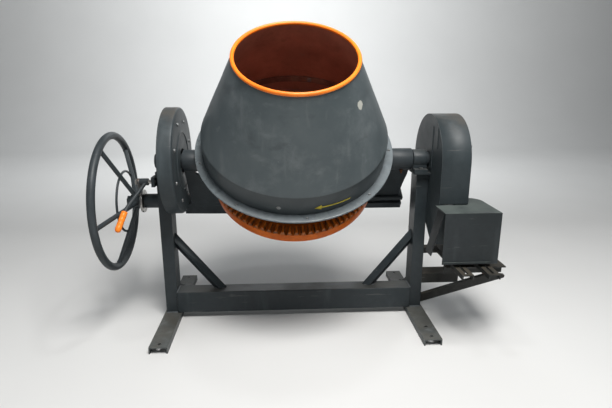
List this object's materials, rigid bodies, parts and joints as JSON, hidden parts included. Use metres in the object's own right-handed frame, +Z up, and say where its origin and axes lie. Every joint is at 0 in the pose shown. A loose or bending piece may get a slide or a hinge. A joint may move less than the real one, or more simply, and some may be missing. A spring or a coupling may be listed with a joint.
{
  "type": "concrete mixer",
  "caption": "Tilting-drum concrete mixer: a conical drum in a yoke, turned by a belt and ring gear and tipped by a geared handwheel, on a steel frame with two channel feet.",
  "frame": {"origin": "on the ground at the middle of the bounding box's footprint", "axes": "+X to the right along the trunnion line from the handwheel to the motor, +Y from the drum's mouth side to the back, +Z up"},
  "size_m": [1.651, 0.8768, 1.2788],
  "materials": {
    "grey_paint": "satin paint, scuffed and dusty",
    "drum_paint": "satin paint outside, rusty red-brown inside",
    "foot_paint": "satin paint under brown dust",
    "orange_paint": "gloss paint",
    "ring_gear_paint": "orange paint worn on the teeth, greasy",
    "grip_plastic": "moulded",
    "bare_steel": "machined, lightly rusted",
    "cast_iron": "as cast, greased",
    "fastener_steel": "painted over or zinc plated",
    "belt_rubber": "matt",
    "motor_green": "satin",
    "bush_bronze": "machined",
    "switch_plastic": "moulded"
  },
  "bodies": {
    "frame": {"left_foot_channel": "foot_paint", "right_foot_channel": "foot_paint", "main_beam": "grey_paint", "left_upright": "grey_paint", "right_upright": "grey_paint", "upright_gussets": "grey_paint", "beam_braces": "grey_paint", "head_plates": "grey_paint", "bearing_blocks": "grey_paint", "frame_fasteners": "fastener_steel", "tilt_cover_back": "grey_paint", "tilt_cover": "grey_paint", "handwheel_bearing_tube": "grey_paint", "lever_bracket": "grey_paint", "lever_pin": "bare_steel", "v_belt": "belt_rubber", "belt_guard_back": "grey_paint", "belt_guard": "grey_paint", "motor_cover": "grey_paint", "side_flap": "grey_paint", "motor_body": "motor_green", "motor_terminal_box": "motor_green", "slide_plate": "grey_paint", "motor_rails": "bare_steel", "motor_platform": "grey_paint", "switch_housing": "switch_plastic", "cable_gland": "switch_plastic"},
    "yoke": {"left_arm": "grey_paint", "right_arm": "grey_paint", "cross_bars": "grey_paint", "drum_spindle": "bare_steel", "left_trunnion": "bare_steel", "right_trunnion": "bare_steel", "shaft_bushes": "bush_bronze", "grease_nipple": "bush_bronze", "tilt_gear": "cast_iron"},
    "drum": {"drum_upper": "drum_paint", "mouth_rim": "orange_paint", "drum_lower": "drum_paint", "waist_flange": "drum_paint", "drum_bolts": "fastener_steel", "ring_gear": "ring_gear_paint", "mixing_blades": "bare_steel", "drum_hub": "cast_iron"},
    "drive_shaft_group": {"drive_shaft": "bare_steel", "drive_pinion": "cast_iron", "drive_pulley": "cast_iron"},
    "motor_rotor": {"motor_shaft": "bare_steel", "motor_pulley": "cast_iron", "cooling_fan": "motor_green"},
    "handwheel": {"handwheel_shaft": "bare_steel", "handwheel_rim": "grey_paint", "handwheel_hub": "grey_paint", "handwheel_spokes": "grey_paint", "tilt_pinion": "cast_iron", "brake_disc": "bare_steel"},
    "lock_lever": {"lever_rod": "grey_paint", "lever_grip": "grip_plastic", "brake_shoe": "cast_iron"},
    "switch_knob_body": {"switch_knob": "switch_plastic"}
  },
  "joints": [
    {"name": "drum_tilt", "type": "hinge", "parent": "frame", "child": "yoke", "pos_m": [-0.0345, 0.04542, 0.723], "axis": [1, 0, 0], "range_deg": [-45, 95]},
    {"name": "drum_spin", "type": "hinge", "parent": "yoke", "child": "drum", "pos_m": [-0.0345, 0.04542, 0.723], "axis": [0, -0.5687, 0.8225], "continuous": true},
    {"name": "drive_shaft_turn", "type": "hinge", "parent": "yoke", "child": "drive_shaft_group", "pos_m": [-0.0345, 0.04542, 0.723], "axis": [1, 0, 0], "continuous": true},
    {"name": "motor_turn", "type": "hinge", "parent": "frame", "child": "motor_rotor", "pos_m": [0.6655, -0.10458, 0.43], "axis": [1, 0, 0], "continuous": true},
    {"name": "handwheel_turn", "type": "hinge", "parent": "frame", "child": "handwheel", "pos_m": [-0.7245, 0.04542, 0.548], "axis": [1, 0, 0], "range_deg": [-381, 181]},
    {"name": "lock_lever_swing", "type": "hinge", "parent": "frame", "child": "lock_lever", "pos_m": [-0.6665, -0.00458, 0.643], "axis": [1, 0, 0], "range_deg": [-25, 5]},
    {"name": "switch_turn", "type": "hinge", "parent": "frame", "child": "switch_knob_body", "pos_m": [0.7955, -0.15458, 0.465], "axis": [1, 0, 0], "range_deg": [0, 90]}
  ],
  "couplings": [
    {"joint": "drive_shaft_turn", "follows": "drum_spin", "ratio": 4.875},
    {"joint": "motor_turn", "follows": "drum_spin", "ratio": 26.812},
    {"joint": "handwheel_turn", "follows": "drum_tilt", "ratio": -4}
  ]
}
